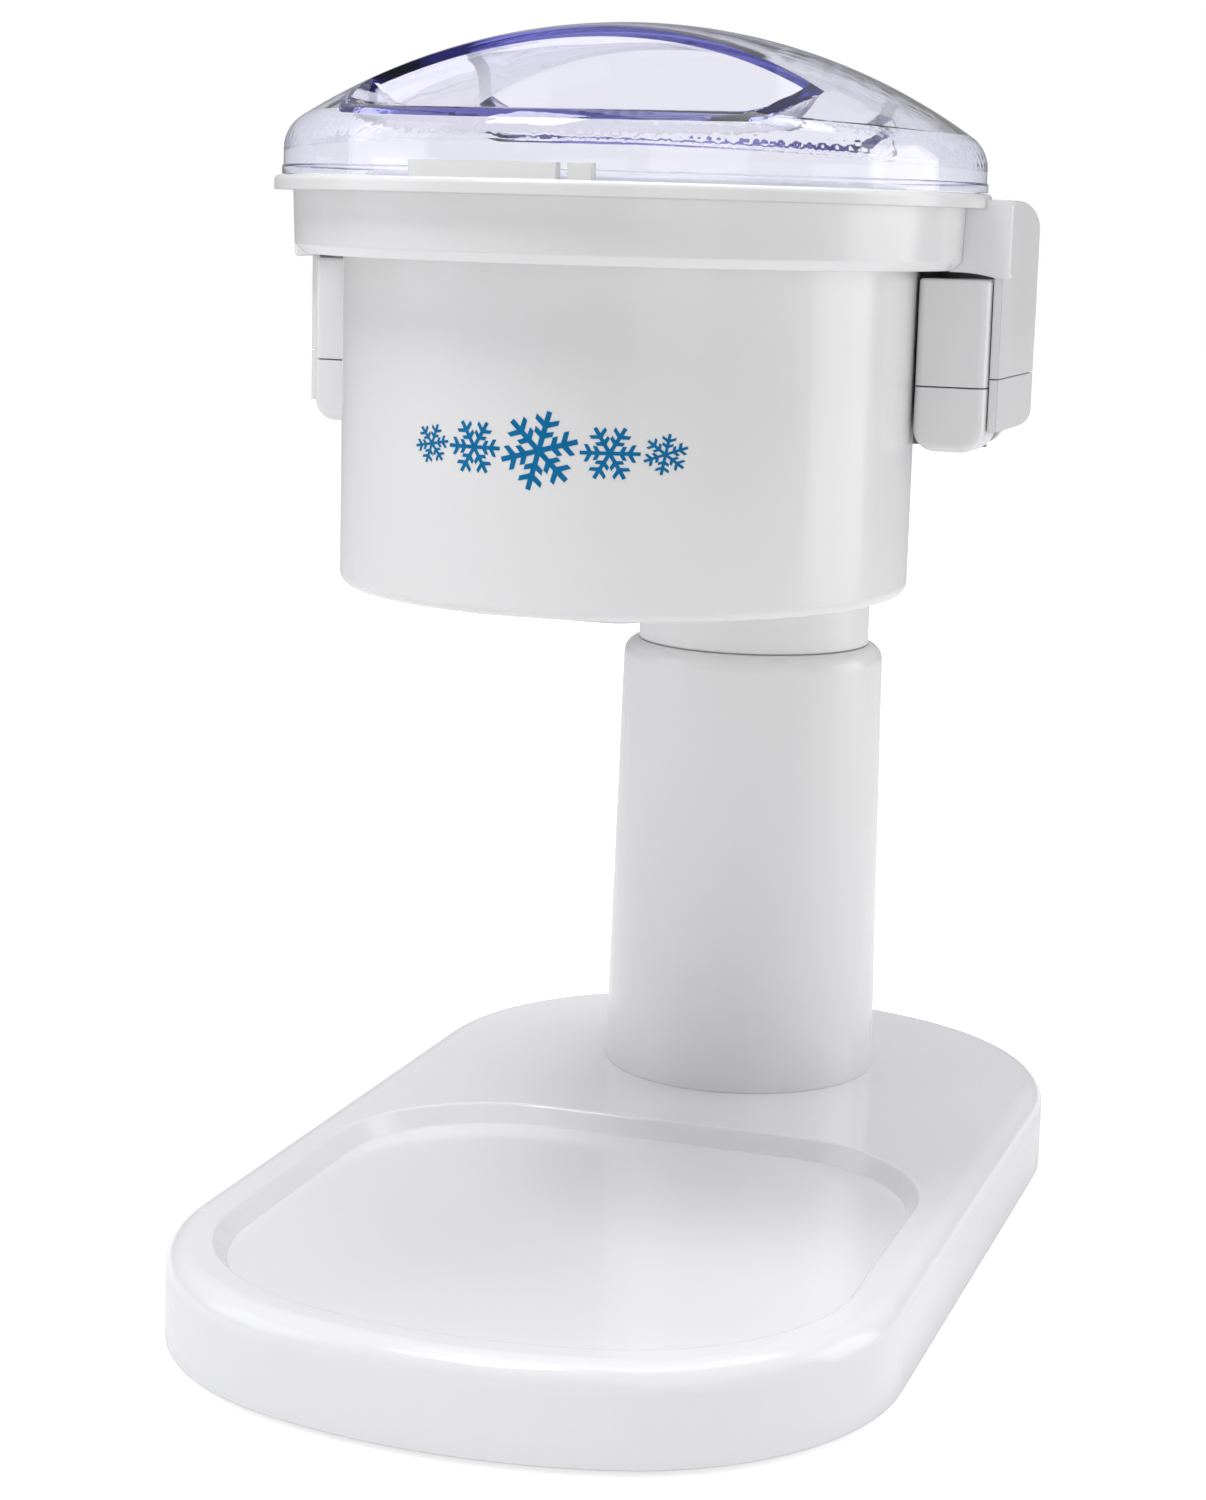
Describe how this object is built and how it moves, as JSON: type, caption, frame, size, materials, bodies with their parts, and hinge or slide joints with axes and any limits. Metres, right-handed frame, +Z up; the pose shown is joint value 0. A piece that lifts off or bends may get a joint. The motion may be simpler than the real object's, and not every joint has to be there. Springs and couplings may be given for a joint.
{
  "type": "shaved ice machine",
  "caption": "Counter-top ice shaver: bowl tray base, round column, pear-shaped drum head with side latches and a clear domed lid; motor, belt, blade and paddle inside.",
  "frame": {"origin": "on the floor, in the middle of the base", "axes": "+Z up, -Y is the front where the bowl stands, +X to the right as seen from the front"},
  "size_m": [0.183, 0.326, 0.314],
  "materials": {
    "white_shell": "glossy white moulding",
    "white_base": "glossy white moulding",
    "lid_clear": "clear, faint violet",
    "hopper_white": "smooth white moulding",
    "inner_grey": "matt grey moulding",
    "black_plastic": "matt black",
    "stainless": "brushed",
    "blade_steel": "ground edge",
    "screw_steel": "zinc plated",
    "motor_paint": "dark enamel",
    "laminations": "stacked steel",
    "bearing_brass": "turned bush",
    "belt_rubber": "ribbed rubber",
    "foot_rubber": "soft rubber",
    "paddle_cast": "satin cast"
  },
  "bodies": {
    "frame": {"base_shell": "white_base", "base_bottom_cover": "inner_grey", "base_screws": "screw_steel", "cord_gland": "black_plastic", "foot_front_left": "foot_rubber", "foot_front_right": "foot_rubber", "foot_rear_left": "foot_rubber", "foot_rear_right": "foot_rubber", "column_shell": "white_shell", "column_screws": "screw_steel", "neck_tube": "white_shell", "neck_screws": "screw_steel", "motor_can": "motor_paint", "motor_end_cap": "motor_paint", "motor_stator": "laminations", "motor_bearing_lower": "bearing_brass", "motor_bearing_upper": "bearing_brass", "motor_bracket": "stainless", "motor_screws": "screw_steel", "drive_belt": "belt_rubber", "spindle_bearing_lower": "bearing_brass", "spindle_bearing_upper": "bearing_brass", "bearing_carrier": "paddle_cast", "carrier_screws": "screw_steel", "blade_plate": "stainless", "shaver_blade": "blade_steel", "blade_screws": "screw_steel", "hopper_cup": "hopper_white", "ice_chute": "hopper_white", "drum_shell": "white_shell", "top_collar": "white_shell", "keeper_right": "white_shell", "keeper_left": "white_shell", "interlock_switch": "black_plastic", "rocker_switch_body": "black_plastic", "latch_bracket_right": "inner_grey", "latch_pin_right": "stainless", "latch_bracket_left": "inner_grey", "latch_pin_left": "stainless"},
    "lid": {"clear_lid": "lid_clear"},
    "right_latch": {"latch_arm_right": "white_shell", "latch_cap_right": "white_shell"},
    "left_latch": {"latch_arm_left": "white_shell", "latch_cap_left": "white_shell"},
    "spindle": {"drive_spindle": "stainless", "spindle_pulley": "paddle_cast", "ice_paddle": "paddle_cast", "paddle_nut": "stainless"},
    "rotor": {"motor_rotor": "laminations", "motor_pulley": "paddle_cast"},
    "plunger": {"interlock_plunger": "black_plastic"},
    "rocker": {"rocker_button": "black_plastic"}
  },
  "joints": [
    {"name": "lid_lift", "type": "slide", "parent": "frame", "child": "lid", "axis": [0, 0, 1], "range_m": [0, 0.06]},
    {"name": "right_latch_hinge", "type": "hinge", "parent": "frame", "child": "right_latch", "pos_m": [0.079, 0, 0.2205], "axis": [0, 1, 0], "range_deg": [0, 60]},
    {"name": "left_latch_hinge", "type": "hinge", "parent": "frame", "child": "left_latch", "pos_m": [-0.079, 0, 0.2205], "axis": [0, -1, 0], "range_deg": [0, 60]},
    {"name": "spindle_spin", "type": "hinge", "parent": "frame", "child": "spindle", "pos_m": [0, -0.036, 0.2], "axis": [0, 0, 1], "continuous": true},
    {"name": "motor_spin", "type": "hinge", "parent": "frame", "child": "rotor", "pos_m": [0, 0.0875, 0.13], "axis": [0, 0, 1], "continuous": true},
    {"name": "interlock_press", "type": "slide", "parent": "frame", "child": "plunger", "axis": [0, 0, -1], "range_m": [0, 0.0015], "stiffness_N_per_m": 150, "springref_m": -0.001},
    {"name": "rocker_tilt", "type": "hinge", "parent": "frame", "child": "rocker", "pos_m": [0, 0.1224, 0.217], "axis": [1, 0, 0], "range_deg": [-16, 0]}
  ],
  "couplings": [
    {"joint": "motor_spin", "follows": "spindle_spin", "ratio": 2.1}
  ]
}
